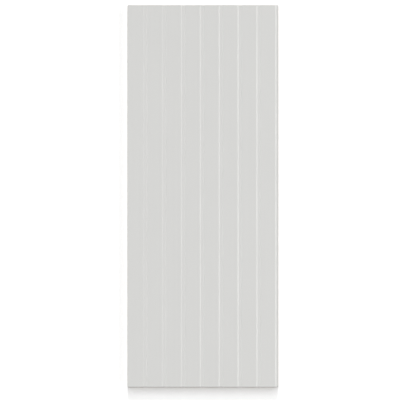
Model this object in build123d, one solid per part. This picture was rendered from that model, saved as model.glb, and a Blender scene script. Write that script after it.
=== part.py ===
from build123d import *
import os
from math import radians, tan

# A glazed ceramic wall tile with the look of narrow upright planks, pressed and fired in one piece.
# It lies on its back: +Z is the glazed face, +Y runs up the wall and +X is to the right.
# The origin is the centre of the back, on the plane that the tile rests on. Lengths are millimetres.

# Overall size
tile_width = 197.5
tile_height = 500.0
tile_thickness = 9.0

# Planks of the face. A groove follows each plank, and the right edge of the tile cuts the last one:
# edge_rebate is what is left of it, and the joint beside the tile makes up the rest.
groove_count = 8
groove_width = 6.1
groove_depth = 0.8
groove_wall_angle = 25.0
edge_rebate = 4.2
lip_radius = 1.5
foot_radius = 1.2

# Outer edges
corner_radius = 1.2
arris_radius = 0.9
back_chamfer = 0.8

# Keyed back: shallow cells that hold the adhesive, between ribs and inside a plain rim
back_rim = 9.0
rib_width = 3.0
cell_target = 17.5
cell_depth = 0.8
cell_draft_angle = 30.0

# Sizes that follow from the ones above
half_width = tile_width / 2
half_height = tile_height / 2
pitch = tile_width / groove_count
wall_run = groove_depth / tan(radians(groove_wall_angle))
floor_level = tile_thickness - groove_depth


def left_lip(number):
    """Where the plank before a groove ends. The grooves are numbered from 0 at the left."""
    return half_width - edge_rebate - (groove_count - 1 - number) * pitch


def face_corners():
    """The corners of the face from left to right, before they are rounded."""
    corners = [(-half_width, tile_thickness)]
    for number in range(groove_count):
        left = left_lip(number)
        right = left + groove_width
        corners.append((left, tile_thickness))
        corners.append((left + wall_run, floor_level))
        if number < groove_count - 1:
            corners.append((right - wall_run, floor_level))
            corners.append((right, tile_thickness))
    corners.append((half_width, floor_level))
    return corners


def round_corners(section, level, radius):
    """Rounds the corners of the face that lie at one level, between the two sides of the tile."""
    corners = section.vertices().filter_by_position(Axis.Y, level, level)
    inner = corners.filter_by_position(Axis.X, -half_width, half_width, inclusive=(False, False))
    return fillet(inner, radius)


def tile_section():
    """The tile cut across its planks."""
    outline = Polyline(*face_corners(), (half_width, 0), (-half_width, 0), close=True)
    section = make_face(outline)
    section = round_corners(section, tile_thickness, lip_radius)
    return round_corners(section, floor_level, foot_radius)


def soften_arris(blank):
    """Rounds the edge of the face all the way round, down into the grooves and out again."""
    above = floor_level - groove_depth / 2
    edges = blank.edges().filter_by_position(Axis.Z, above, tile_thickness)
    groove_lines = edges.filter_by(Axis.Y).filter_by_position(
        Axis.X, -half_width, half_width, inclusive=(False, False)
    )
    return fillet(edges - groove_lines, arris_radius)


def tile_blank():
    """The pressed tile with a plain back."""
    blank = extrude(Plane.XZ * tile_section(), half_height, both=True)
    blank = fillet(blank.edges().filter_by(Axis.Z), corner_radius)
    blank = soften_arris(blank)
    back = blank.faces().sort_by(Axis.Z)[0]
    return chamfer(back.edges(), back_chamfer)


def cells_between(length):
    """How many cells fit along one side of the tile, and how long each one is."""
    keyed = length - 2 * back_rim
    count = round((keyed + rib_width) / (cell_target + rib_width))
    return count, (keyed + rib_width) / count - rib_width


def back_cells():
    """The shallow cells of the back, with sloping walls so that the press lets go of them."""
    columns, cell_width = cells_between(tile_width)
    rows, cell_height = cells_between(tile_height)
    cell = extrude(Rectangle(cell_width, cell_height), cell_depth, taper=cell_draft_angle)
    places = GridLocations(cell_width + rib_width, cell_height + rib_width, columns, rows)
    return [place * cell for place in places]


def wall_tile():
    """The whole tile, as one solid."""
    return tile_blank() - back_cells()


os.makedirs("parts", exist_ok=True)
export_step(wall_tile(), "parts/wall_tile.step")
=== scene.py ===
from math import cos, radians, sin, tan

import bmesh
import bpy
from mathutils import Matrix, Vector


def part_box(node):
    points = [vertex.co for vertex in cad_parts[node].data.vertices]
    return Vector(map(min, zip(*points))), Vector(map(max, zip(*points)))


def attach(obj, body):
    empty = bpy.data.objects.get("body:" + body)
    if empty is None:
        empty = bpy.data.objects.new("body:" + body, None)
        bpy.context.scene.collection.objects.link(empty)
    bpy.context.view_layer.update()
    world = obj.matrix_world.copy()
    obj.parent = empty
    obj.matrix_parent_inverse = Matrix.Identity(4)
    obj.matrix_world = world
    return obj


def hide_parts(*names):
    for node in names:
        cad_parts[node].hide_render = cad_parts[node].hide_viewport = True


# A glazed ceramic wall tile with a face of narrow upright planks, lying on its keyed back.
# +Z is the glazed face, +Y runs up the wall and +X is to the right. Lengths are metres.

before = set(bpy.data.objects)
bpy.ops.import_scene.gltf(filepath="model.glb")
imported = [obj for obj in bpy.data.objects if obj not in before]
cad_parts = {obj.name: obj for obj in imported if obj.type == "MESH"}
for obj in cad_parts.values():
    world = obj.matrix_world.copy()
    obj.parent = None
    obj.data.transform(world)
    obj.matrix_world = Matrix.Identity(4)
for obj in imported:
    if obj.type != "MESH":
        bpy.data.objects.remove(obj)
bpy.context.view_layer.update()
mm = 0.001

# The tile's own sizes, which are those of the solid
groove_count = 8
groove_width = 6.1 * mm
groove_depth = 0.8 * mm
groove_wall_angle = radians(25.0)
edge_rebate = 4.2 * mm
lip_radius = 1.5 * mm
foot_radius = 1.2 * mm
corner_radius = 1.2 * mm
arris_radius = 0.9 * mm
back_chamfer = 0.8 * mm
back_rim = 9.0 * mm
rib_width = 3.0 * mm
cell_columns = 9
cell_rows = 24
cell_depth = 0.8 * mm
cell_draft_angle = radians(30.0)

# Rounding of the back's cells, which the solid leaves sharp
cell_edge_radius = 0.2 * mm

# Steps of the rounded edges
lip_steps = 5
arris_steps = 5
corner_steps = 6
cell_edge_steps = 2
smooth_limit = radians(40.0)

# Two places that are nearer than a hair are taken as one
hair = 0.01 * mm

# The camera, level with the photograph's frame of 400 x 400 pixels
frame_pixels = 400
photo_tile_height_px = 382.4
photo_tile_centre_px = (202.87, 196.32)
camera_distance = 2.0
sensor_width = 36.0

# Glaze, with lengths in millimetres. A break of 1 is as thin as glaze gets before the clay shows through;
# the breaks and the thin colour are also painted shade on the face's edges.
glaze_pale = (0.678, 0.677, 0.662, 1)
glaze_deep = (0.670, 0.669, 0.654, 1)
# Painted shade: the thin glaze colour is set darker than thin glaze alone, to darken the face's rounded
# edges.
glaze_break_painted_shade = (0.33, 0.33, 0.322, 1)
# Clay colour for a break past 1, which only the bottom one reaches: a painted shadow line along the lower
# edge, in the colour of clay showing through the glaze.
clay_painted_shadow_line = (0.28, 0.23, 0.16, 1)
# The breaks are partly thin glaze and partly painted shade. They differ from side to side for how the
# lamps light each edge: lightest on the left, darker on the right and top.
left_break_painted_shade = 0.3
right_break_painted_shade = 0.75
top_break_painted_shade = 1.0
# The bottom break goes past 1 to paint that shadow line.
bottom_break_painted_shadow = 1.6
cloud_size = 45.0
streak_size = 4.0
streak_run = (1, 0.02, 1)
glaze_roughness = 0.22
roughness_play = 0.02
satin_size = 12.0
peel_size = 1.8
peel_height = 0.006
wave_size = 38.0
wave_height = 0.02

# The lower edge of the glaze on the sides, and the engobe under it, with lengths in millimetres
glaze_thickness = 0.14
glaze_edge_low = 6.4
glaze_edge_high = 7.2
glaze_edge_size = 30.0
glaze_edge_fade = (-0.05, 0.08)
ripple_size = 3.5
ripple_height = 0.12
run_size = 4.5
run_length = 2.2
run_range = (0.6, 0.85)
engobe = (0.74, 0.70, 0.64, 1)
engobe_width = 0.35
engobe_fade = 0.15
engobe_cover = 0.8

# Clay, with lengths in millimetres
biscuit_pale = (0.62, 0.55, 0.45, 1)
biscuit_dark = (0.57, 0.49, 0.39, 1)
biscuit_cloud_size = 28.0
biscuit_roughness = 0.85
biscuit_grain = (0.50, 0.42, 0.33, 1)
grain_size = 0.6
grain_range = (0.35, 0.65)
grain_cover = 0.35
grit_size = 0.45
grit_height = 0.04
iron_speck = (0.22, 0.13, 0.08, 1)
speck_spacing = 3.4
speck_size = 0.32
speck_share = 0.35
pit_spacing = 1.9
pit_size = 0.4
pit_share = 0.3
pit_depth = 0.08
kiln_wash = (0.80, 0.77, 0.71, 1)
wash_fade = (0.22, 0.02)
wash_size = 9.0
wash_run = (1, 0.35, 1)
wash_range = (0.4, 0.6)
wash_cover = (0.15, 0.85)

# Where nearly all the values of a noise lie
noise_range = (0.3, 0.7)

# The floor and the room
paper_white = (0.9, 0.9, 0.9, 1)
paper_glow = 0.25
paper_fade = (0.5, 2.5)
floor_reach = 6.0
room_level = 0.1

# Strip lights beside the tile, with powers in watts
strip_length = 3.0
strip_height = 0.25
strip_distance = 1.2
mirrored_length = 1.1
right_strip_elevation = radians(36)
right_strip_power = 11.0
left_strip_elevation = radians(36)
left_strip_power = 3.1
high_strip_elevation = radians(48)
high_strip_power = 4.3
low_strip_elevation = radians(12)
low_strip_power = 2.1

# Far lamps beyond the upper end of the tile: each one's elevation in degrees, and its light on the face
far_lamps = {18: 0.44, 27: 0.21, 36: 0.23, 45: 0.18, 54: 0.12, 63: 0.15}
far_lamp_spread = radians(9)

# Where things are on the tile
low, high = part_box("wall_tile")
centre = (low + high) / 2
pitch = (high.x - low.x) / groove_count
floor_level = high.z - groove_depth
wall_run = groove_depth / tan(groove_wall_angle)
metres_per_px = (high.y - low.y) / photo_tile_height_px


# Mesh


def left_lip(number):
    """Where the plank before a groove ends. The grooves are numbered from 0 at the left."""
    return high.x - edge_rebate - (groove_count - 1 - number) * pitch


def groove_floors():
    """Where the flat bottom of each groove starts and ends. The last one runs out at the right edge."""
    floors = []
    for number in range(groove_count):
        left = left_lip(number)
        floors.append((left + wall_run, left + groove_width - wall_run))
    floors[-1] = (floors[-1][0], high.x)
    return floors


def lies_at(value, level):
    """Whether a place is at a level, within a hair."""
    return abs(value - level) < hair


def each_once(things):
    """The things in the order that they come in, without repeats."""
    return list(dict.fromkeys(things))


def cut(mesh, faces, point, direction):
    """Cuts some faces along a plane."""
    edges = each_once(edge for face in faces for edge in face.edges)
    verts = each_once(vert for face in faces for vert in face.verts)
    bmesh.ops.bisect_plane(mesh, geom=verts + edges + faces, plane_co=point, plane_no=direction)


def facing(mesh, direction):
    """The faces that look squarely in one direction."""
    squarely = 0.999
    return [face for face in mesh.faces if face.normal.dot(direction) > squarely]


def round_edges(mesh, edges, reach, steps):
    """Rounds some edges, starting at a distance from each of them."""
    bmesh.ops.bevel(
        mesh, geom=edges, offset=reach, offset_type="OFFSET", segments=steps,
        profile=0.5, affect="EDGES", clamp_overlap=False, material=-1,
    )


def press_grooves(tile):
    """Cuts the flat face along its grooves and pushes the bottoms of the grooves down."""
    up = Vector((0, 0, 1))
    for start, end in groove_floors():
        for place in (start - wall_run, start, end, end + wall_run):
            if place < high.x - hair:
                cut(tile, facing(tile, up), Vector((place, 0, 0)), Vector((1, 0, 0)))
    pressed = []
    for vert in tile.verts:
        in_groove = any(start - hair < vert.co.x < end + hair for start, end in groove_floors())
        if in_groove and lies_at(vert.co.z, high.z):
            pressed.append(vert)
    bmesh.ops.translate(tile, verts=pressed, vec=Vector((0, 0, -groove_depth)))


def edges_along_planks(tile, level):
    """The edges that run up the tile at one level, between its two sides."""
    found = []
    for edge in tile.edges:
        first, second = (vert.co for vert in edge.verts)
        runs_up = lies_at(first.x, second.x) and lies_at(first.z, second.z)
        inside = low.x + hair < first.x < high.x - hair
        if runs_up and inside and lies_at(first.z, level):
            found.append(edge)
    return found


def round_grooves(tile):
    """Rounds the lips and the feet of the grooves."""
    reach = tan(groove_wall_angle / 2)
    round_edges(tile, edges_along_planks(tile, high.z), lip_radius * reach, lip_steps)
    round_edges(tile, edges_along_planks(tile, floor_level), foot_radius * reach, lip_steps)


def outline_edges(tile, way):
    """The edges where the upright sides meet the face, for a way of 1, or the back, for -1."""
    upright = 0.01
    lying = 0.3
    found = []
    for edge in tile.edges:
        slopes = sorted((way * face.normal.z for face in edge.link_faces), key=abs)
        if abs(slopes[0]) < upright and slopes[1] > lying:
            found.append(edge)
    return found


def round_outside(tile):
    """Rounds the four upright corners, then the edge of the face all the way round."""
    uprights = []
    for edge in tile.edges:
        first, second = (vert.co for vert in edge.verts)
        if lies_at(first.x, second.x) and lies_at(first.y, second.y):
            uprights.append(edge)
    round_edges(tile, uprights, corner_radius, corner_steps)
    round_edges(tile, outline_edges(tile, 1), arris_radius, arris_steps)


def chamfer_back(tile):
    """Breaks the edge of the back."""
    round_edges(tile, outline_edges(tile, -1), back_chamfer, 1)


def cell_sides(start, end, count):
    """Where the cells of the back start and end along one side of the tile, and how long each one is."""
    step = (end - start - 2 * back_rim + rib_width) / count
    length = step - rib_width
    places = []
    for number in range(count):
        cell_start = start + back_rim + number * step
        places += [cell_start, cell_start + length]
    return places, length


def key_back(tile):
    """Presses the shallow cells into the back, between ribs and inside a plain rim."""
    down = Vector((0, 0, -1))
    across, cell_width = cell_sides(low.x, high.x, cell_columns)
    along, cell_height = cell_sides(low.y, high.y, cell_rows)
    for place in across:
        cut(tile, facing(tile, down), Vector((place, 0, 0)), Vector((1, 0, 0)))
    for place in along:
        cut(tile, facing(tile, down), Vector((0, place, 0)), Vector((0, 1, 0)))
    cells = []
    for face in facing(tile, down):
        width = max(vert.co.x for vert in face.verts) - min(vert.co.x for vert in face.verts)
        height = max(vert.co.y for vert in face.verts) - min(vert.co.y for vert in face.verts)
        if lies_at(width, cell_width) and lies_at(height, cell_height):
            cells.append(face)
    draft = cell_depth * tan(cell_draft_angle)
    walls = bmesh.ops.inset_individual(
        tile, faces=cells, thickness=draft, depth=-cell_depth, use_even_offset=True
    )["faces"]
    wall_edges = each_once(edge for wall in walls for edge in wall.edges)
    round_edges(tile, wall_edges, cell_edge_radius, cell_edge_steps)


def note_break_and_shade(tile):
    """Notes how thin the glaze is at each vert, as a share that also carries painted shade. It breaks on
    the bend round the face, by a share set for each side: painted shade on the edges, and a painted
    shadow line along the lower one.
    """
    thin = tile.verts.layers.float.new("glaze_break_shade")
    tile.normal_update()
    for vert in tile.verts:
        from_outline = min(high.x - abs(vert.co.x), high.y - abs(vert.co.y))
        if hair < from_outline < arris_radius - hair and vert.co.z > centre.z:
            sideways = Vector((vert.normal.x, vert.normal.y))
            bend = 2 * vert.normal.z * sideways.length
            sideways.normalize()
            # Painted shade: each edge gets its own share, set for how the lamps light it.
            side_break_shade = right_break_painted_shade if sideways.x > 0 else left_break_painted_shade
            end_break_shade = top_break_painted_shade if sideways.y > 0 else bottom_break_painted_shadow
            vert[thin] = bend * (side_break_shade * sideways.x ** 2 + end_break_shade * sideways.y ** 2)


def tile_mesh():
    """The whole tile: a pressed slab with its grooves, rounded edges and keyed back."""
    tile = bmesh.new()
    place = Matrix.Translation(centre) @ Matrix.Diagonal((*(high - low), 1))
    bmesh.ops.create_cube(tile, size=1.0, matrix=place)
    press_grooves(tile)
    round_grooves(tile)
    round_outside(tile)
    chamfer_back(tile)
    key_back(tile)
    bmesh.ops.recalc_face_normals(tile, faces=tile.faces)
    note_break_and_shade(tile)
    return tile


def lay_tile(finish):
    """The tile as one object, in the place of its plain solid."""
    shape = tile_mesh()
    data = bpy.data.meshes.new("glazed_wall_tile")
    shape.to_mesh(data)
    shape.free()
    data.materials.append(finish)
    data.shade_smooth()
    data.set_sharp_from_angle(angle=smooth_limit)
    piece = bpy.data.objects.new("glazed_wall_tile", data)
    bpy.context.scene.collection.objects.link(piece)
    even = piece.modifiers.new("even_shading", "WEIGHTED_NORMAL")
    even.keep_sharp = True
    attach(piece, "root")
    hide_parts("wall_tile")


# Materials, whose patterns read the piece's own coordinates in millimetres


def add_node(tree, kind, feeds=None, **settings):
    """Adds a node. Each of its sockets is fed by the output of another node or set to a plain value."""
    node = tree.nodes.new(kind)
    for name, value in settings.items():
        setattr(node, name, value)
    for socket, feed in (feeds or {}).items():
        if isinstance(feed, bpy.types.NodeSocket):
            tree.links.new(feed, node.inputs[socket])
        else:
            node.inputs[socket].default_value = feed
    return node


def reckon(tree, operation, first, second=0.0):
    """One sum on numbers."""
    return add_node(tree, "ShaderNodeMath", {0: first, 1: second}, operation=operation).outputs[0]


def fade(tree, value, start, end, to_low=0.0, to_high=1.0):
    """Goes smoothly from one level to another while a number goes from start to end."""
    ends = {"Value": value, "From Min": start, "From Max": end, "To Min": to_low, "To Max": to_high}
    return add_node(tree, "ShaderNodeMapRange", ends, interpolation_type="SMOOTHSTEP").outputs["Result"]


def mingle(tree, share, first, second):
    """The second colour laid over the first, by a share from 0 to 1."""
    colours = {0: share, 6: first, 7: second}
    return add_node(tree, "ShaderNodeMix", colours, data_type="RGBA").outputs[2]


def scaled(tree, place, scale):
    """Coordinates multiplied along each axis. A small number draws the pattern out along that axis."""
    feeds = {"Vector": place, "Scale": scale}
    return add_node(tree, "ShaderNodeMapping", feeds, vector_type="POINT").outputs["Vector"]


def noise(tree, place, size, detail=2.0):
    """Soft random patches of about this size in millimetres, as a number round one half."""
    feeds = {"Vector": place, "Scale": 1 / size, "Detail": detail}
    return add_node(tree, "ShaderNodeTexNoise", feeds).outputs[0]


def patches(tree, place, size, to_low=0.0, to_high=1.0):
    """The same patches, spread out so that they go from one level to another."""
    return fade(tree, noise(tree, place, size), *noise_range, to_low, to_high)


def specks(tree, place, spacing, size, kept):
    """Small round spots, at a share of the places that lie this far apart."""
    feeds = {"Vector": place, "Scale": 1 / spacing}
    cells = add_node(tree, "ShaderNodeTexVoronoi", feeds, feature="F1")
    spot = fade(tree, cells.outputs["Distance"], size / spacing, 0.4 * size / spacing)
    chance = add_node(tree, "ShaderNodeSeparateColor", {"Color": cells.outputs["Color"]}).outputs["Red"]
    return reckon(tree, "MULTIPLY", spot, reckon(tree, "LESS_THAN", chance, kept))


def glaze_edge(tree, place):
    """The height of the glaze's lower edge round the sides, with a few runs below it."""
    round_tile = scaled(tree, place, (1, 1, 0))
    wander = patches(tree, round_tile, glaze_edge_size, glaze_edge_low, glaze_edge_high)
    ripple = patches(tree, round_tile, ripple_size, -ripple_height, ripple_height)
    run = fade(tree, noise(tree, round_tile, run_size, detail=0.0), *run_range, 0.0, -run_length)
    return reckon(tree, "ADD", reckon(tree, "ADD", wander, ripple), run)


def glaze_colour(tree, place):
    """Pale grey glaze with faint clouds and streaks, darker on the bend round the face where it is thin
    and painted with shade, and clay coloured along the lower edge as a painted shadow line.
    """
    clouds = noise(tree, place, cloud_size)
    streaks = noise(tree, scaled(tree, place, streak_run), streak_size)
    tone = reckon(tree, "MULTIPLY", reckon(tree, "ADD", clouds, streaks), 0.5)
    body = mingle(tree, fade(tree, tone, *noise_range), glaze_deep, glaze_pale)
    thin = add_node(tree, "ShaderNodeAttribute", attribute_name="glaze_break_shade").outputs["Fac"]
    # Painted shade on the face's rounded edges.
    body = mingle(tree, fade(tree, thin, 0.0, 1.0), body, glaze_break_painted_shade)
    # A painted shadow line in clay colour where the share goes past 1, on the lower edge only.
    return mingle(tree, fade(tree, thin, 1.0, bottom_break_painted_shadow), body, clay_painted_shadow_line)


def biscuit_colour(tree, place, height):
    """Sandy fired clay with grains and specks, and white kiln wash rubbed on to the back's crests."""
    body = mingle(tree, patches(tree, place, biscuit_cloud_size), biscuit_dark, biscuit_pale)
    grain = fade(tree, noise(tree, place, grain_size, detail=3.0), *grain_range, 0.0, grain_cover)
    body = mingle(tree, grain, body, biscuit_grain)
    body = mingle(tree, specks(tree, place, speck_spacing, speck_size, speck_share), body, iron_speck)
    crest = fade(tree, height, *wash_fade)
    smears = noise(tree, scaled(tree, place, wash_run), wash_size, detail=4.0)
    rubbed = fade(tree, smears, *wash_range, *wash_cover)
    return mingle(tree, reckon(tree, "MULTIPLY", crest, rubbed), body, kiln_wash)


def relief(tree, place, glazed):
    """Fine relief in millimetres: orange peel and slow waves in the glaze, grain and pits in the clay."""
    peel = reckon(tree, "MULTIPLY", noise(tree, place, peel_size, detail=0.0), peel_height)
    wave = reckon(tree, "MULTIPLY", noise(tree, place, wave_size, detail=0.0), wave_height)
    smooth = reckon(tree, "ADD", peel, wave)
    grit = reckon(tree, "MULTIPLY", noise(tree, place, grit_size, detail=3.0), grit_height)
    pits = reckon(tree, "MULTIPLY", specks(tree, place, pit_spacing, pit_size, pit_share), -pit_depth)
    rough = reckon(tree, "ADD", grit, pits)
    skin = reckon(tree, "MULTIPLY", glazed, glaze_thickness)
    bare = reckon(tree, "MULTIPLY", rough, reckon(tree, "SUBTRACT", 1.0, glazed))
    return reckon(tree, "ADD", skin, reckon(tree, "ADD", smooth, bare))


def glazed_ceramic():
    """Satin glaze over the face and the tops of the sides, a thin pale engobe, and biscuit below."""
    finish = bpy.data.materials.new("satin_glaze_and_biscuit")
    finish.use_nodes = True
    tree = finish.node_tree
    shader = tree.nodes["Principled BSDF"]
    own = add_node(tree, "ShaderNodeTexCoord").outputs["Object"]
    place = scaled(tree, own, (1 / mm, 1 / mm, 1 / mm))
    height = add_node(tree, "ShaderNodeSeparateXYZ", {"Vector": place}).outputs["Z"]
    above_edge = reckon(tree, "SUBTRACT", height, glaze_edge(tree, place))
    glazed = fade(tree, above_edge, *glaze_edge_fade)
    coated = fade(tree, above_edge, -engobe_width - engobe_fade, -engobe_width, 0.0, engobe_cover)
    clay = mingle(tree, coated, biscuit_colour(tree, place, height), engobe)
    colour = mingle(tree, glazed, clay, glaze_colour(tree, place))
    smoothest, roughest = glaze_roughness - roughness_play, glaze_roughness + roughness_play
    satin = patches(tree, place, satin_size, smoothest, roughest)
    rough = add_node(tree, "ShaderNodeMix", {0: glazed, 2: biscuit_roughness, 3: satin}).outputs[0]
    lift = {"Height": relief(tree, place, glazed), "Strength": 1.0, "Distance": mm}
    tree.links.new(colour, shader.inputs["Base Color"])
    tree.links.new(rough, shader.inputs["Roughness"])
    tree.links.new(add_node(tree, "ShaderNodeBump", lift).outputs["Normal"], shader.inputs["Normal"])
    return finish


def seen_directly(tree):
    """1 where the camera, a mirror or glass shows the surroundings, and 0 where they light something."""
    path = add_node(tree, "ShaderNodeLightPath").outputs
    mirrored = reckon(tree, "MAXIMUM", path["Is Glossy Ray"], path["Is Transmission Ray"])
    return reckon(tree, "MAXIMUM", path["Is Camera Ray"], mirrored)


def white_paper():
    """Paper that glows enough to look white, more so far away, and that still shows the shadow."""
    finish = bpy.data.materials.new("white_paper")
    finish.use_nodes = True
    tree = finish.node_tree
    tree.nodes.clear()
    paper = add_node(tree, "ShaderNodeBsdfDiffuse", {"Color": paper_white}).outputs["BSDF"]
    own = add_node(tree, "ShaderNodeTexCoord").outputs["Object"]
    away = add_node(tree, "ShaderNodeVectorMath", {0: own}, operation="LENGTH").outputs["Value"]
    level = fade(tree, away, *paper_fade, paper_glow, 1.0)
    strength = reckon(tree, "MULTIPLY", seen_directly(tree), level)
    glow = add_node(tree, "ShaderNodeEmission", {"Strength": strength}).outputs["Emission"]
    both = add_node(tree, "ShaderNodeAddShader", {0: paper, 1: glow}).outputs["Shader"]
    add_node(tree, "ShaderNodeOutputMaterial", {"Surface": both})
    finish.cycles.emission_sampling = "NONE"
    return finish


# Studio


def lay_floor():
    """A wide sheet of white paper under the tile."""
    sheet = bmesh.new()
    bmesh.ops.create_grid(sheet, x_segments=1, y_segments=1, size=floor_reach)
    data = bpy.data.meshes.new("studio_floor")
    sheet.to_mesh(data)
    sheet.free()
    data.materials.append(white_paper())
    floor = bpy.data.objects.new("studio_floor", data)
    bpy.context.scene.collection.objects.link(floor)


def light_room():
    """An even pale room all round, white to the camera."""
    world = bpy.data.worlds.new("pale_room")
    bpy.context.scene.world = world
    world.use_nodes = True
    tree = world.node_tree
    strength = fade(tree, seen_directly(tree), 0.0, 1.0, room_level, 1.0)
    tree.nodes["Background"].inputs["Color"].default_value = (1, 1, 1, 1)
    tree.links.new(strength, tree.nodes["Background"].inputs["Strength"])


def hang_lamp(name, data, place, aim):
    """Puts a lamp in its place and turns it to the point that it lights."""
    lamp = bpy.data.objects.new(name, data)
    lamp.location = place
    lamp.rotation_euler = (aim - place).to_track_quat("-Z", "Y").to_euler()
    bpy.context.scene.collection.objects.link(lamp)
    return lamp


def light_only(lamp):
    """Keeps the lamp's own picture out of the glaze, so that a low view over the tile has no glare."""
    lamp.visible_glossy = False


def hang_strip(name, side, elevation, power, length=strip_length, along=0.0):
    """A strip light, or part of one, to the right (side 1) or left (-1). The power is a whole strip's."""
    data = bpy.data.lights.new(name, "AREA")
    data.shape = "RECTANGLE"
    data.size = length
    data.size_y = strip_height
    data.energy = power * length / strip_length
    across = side * strip_distance * cos(elevation)
    place = Vector((across, along, strip_distance * sin(elevation)))
    return hang_lamp(name, data, place, centre + Vector((0, along, 0)))


def hang_right_strip():
    """The strongest strip, in three lengths. Only the middle one shows in the glaze, as pale lines."""
    strip = (1, right_strip_elevation, right_strip_power)
    end_length = (strip_length - mirrored_length) / 2
    end_place = (strip_length - end_length) / 2
    hang_strip("right_strip", *strip, mirrored_length)
    light_only(hang_strip("right_strip_near_end", *strip, end_length, -end_place))
    light_only(hang_strip("right_strip_far_end", *strip, end_length, end_place))


def hang_left_strips():
    """Three weaker strips, one above another. The lowest one doesn't show in the glaze."""
    hang_strip("left_strip", -1, left_strip_elevation, left_strip_power)
    hang_strip("left_strip_high", -1, high_strip_elevation, high_strip_power)
    light_only(hang_strip("left_strip_low", -1, low_strip_elevation, low_strip_power))


def hang_far_lamps():
    """Small lamps far beyond the upper end of the tile, which throw the shadow below the lower end."""
    for degrees, light_on_face in far_lamps.items():
        elevation = radians(degrees)
        data = bpy.data.lights.new(f"far_lamp_{degrees}", "SUN")
        data.angle = far_lamp_spread
        data.energy = light_on_face / sin(elevation)
        place = centre + Vector((0, cos(elevation), sin(elevation)))
        light_only(hang_lamp(f"far_lamp_{degrees}", data, place, centre))


def set_camera():
    """The camera looks straight down on the face, with the photograph's framing."""
    data = bpy.data.cameras.new("camera")
    data.sensor_width = sensor_width
    data.lens = sensor_width * camera_distance / (frame_pixels * metres_per_px)
    camera = bpy.data.objects.new("camera", data)
    right = (frame_pixels / 2 - photo_tile_centre_px[0]) * metres_per_px
    up = (photo_tile_centre_px[1] - frame_pixels / 2) * metres_per_px
    camera.location = (centre.x + right, centre.y + up, high.z + camera_distance)
    bpy.context.scene.collection.objects.link(camera)
    bpy.context.scene.camera = camera


lay_tile(glazed_ceramic())
lay_floor()
light_room()
hang_right_strip()
hang_left_strips()
hang_far_lamps()
set_camera()
bpy.context.scene.view_settings.view_transform = "Standard"
